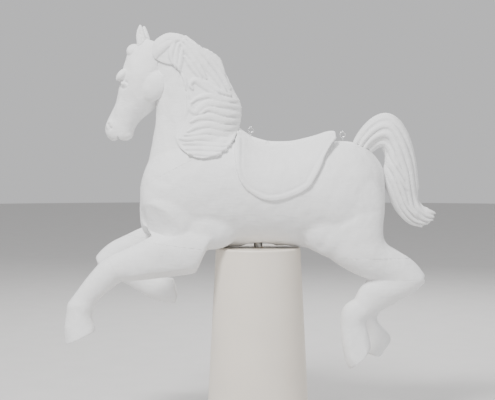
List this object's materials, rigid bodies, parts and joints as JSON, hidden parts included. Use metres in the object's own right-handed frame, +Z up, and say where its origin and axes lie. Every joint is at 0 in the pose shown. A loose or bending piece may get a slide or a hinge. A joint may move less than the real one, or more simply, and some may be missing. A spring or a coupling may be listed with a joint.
{
  "type": "kiddie ride machine",
  "caption": "Carved jumper horse primed white, standing on a post that a cam in its tapered column lifts and lowers; saddle and mane in relief, screw eyes in the back.",
  "frame": {"origin": "on the floor, on the axis of the post and of the column", "axes": "+Z up; the horse faces -X and its left side is -Y"},
  "size_m": [1.141, 0.4, 1.246],
  "materials": {
    "primed_wood": "matte white primer over carved wood",
    "dowel_wood": "bare hardwood dowel",
    "eye_steel": "zinc plated wire",
    "post_steel": "ground tube",
    "column_paint": "satin cream paint",
    "machine_paint": "grey machine enamel",
    "drive_steel": "machined steel",
    "fastener_steel": "zinc plated",
    "bronze": "sintered bronze",
    "fan_plastic": "black moulded plastic"
  },
  "bodies": {
    "root": {"base_plate": "column_paint", "base_ring": "drive_steel", "column_shell": "column_paint", "column_cap": "column_paint", "cap_screws": "fastener_steel", "top_bush": "bronze", "lower_bush": "bronze", "bulkhead": "drive_steel", "bulkhead_nuts": "fastener_steel", "tie_rods": "drive_steel", "bearing_block": "machine_paint", "bearing_screws": "fastener_steel", "outboard_bush": "bronze", "gearbox": "machine_paint", "gearbox_cover": "machine_paint", "gearbox_stand": "drive_steel", "stand_screws": "fastener_steel", "motor": "machine_paint", "motor_fan_cover": "fan_plastic"},
    "horse": {"back_plank": "primed_wood", "belly_block": "primed_wood", "body_left_side": "primed_wood", "body_right_side": "primed_wood", "neck_block": "primed_wood", "head_block": "primed_wood", "left_ear": "primed_wood", "right_ear": "primed_wood", "mane_block": "primed_wood", "saddle": "primed_wood", "tail": "primed_wood", "left_forearm": "primed_wood", "left_fore_shin": "primed_wood", "right_forearm": "primed_wood", "right_fore_shin": "primed_wood", "left_thigh": "primed_wood", "left_hind_shin": "primed_wood", "right_thigh": "primed_wood", "right_hind_shin": "primed_wood", "leg_dowels": "dowel_wood", "knee_dowels": "dowel_wood", "neck_dowels": "dowel_wood", "head_dowel": "dowel_wood", "ear_dowels": "dowel_wood", "tail_dowel": "dowel_wood", "post": "post_steel", "post_flange": "drive_steel", "flange_screws": "fastener_steel", "fork": "drive_steel", "cross_pin": "fastener_steel", "roller_pin": "fastener_steel", "guide_arm": "drive_steel", "guide_bush": "bronze"},
    "cam": {"cam": "drive_steel", "cam_shaft": "drive_steel", "cam_key": "fastener_steel"},
    "roller": {"roller": "drive_steel"},
    "front_eye": {"front_screw_eye": "eye_steel"},
    "rear_eye": {"rear_screw_eye": "eye_steel"}
  },
  "joints": [
    {"name": "horse_lift", "type": "slide", "parent": "root", "child": "horse", "axis": [0, 0, 1], "range_m": [0, 0.055]},
    {"name": "cam_turn", "type": "hinge", "parent": "root", "child": "cam", "pos_m": [0, 0, 0.128], "axis": [0, 1, 0], "range_deg": [0, 166]},
    {"name": "roller_spin", "type": "hinge", "parent": "horse", "child": "roller", "pos_m": [0, 0, 0.173], "axis": [0, 1, 0], "continuous": true},
    {"name": "front_eye_turn", "type": "hinge", "parent": "horse", "child": "front_eye", "pos_m": [-0.023, 0, 0.923], "axis": [0, 0, 1], "range_deg": [-180, 180]},
    {"name": "rear_eye_turn", "type": "hinge", "parent": "horse", "child": "rear_eye", "pos_m": [0.261, 0, 0.909], "axis": [0, 0, 1], "range_deg": [-180, 180]}
  ],
  "couplings": [
    {"joint": "cam_turn", "follows": "horse_lift", "rad_per_m": 52.36}
  ]
}
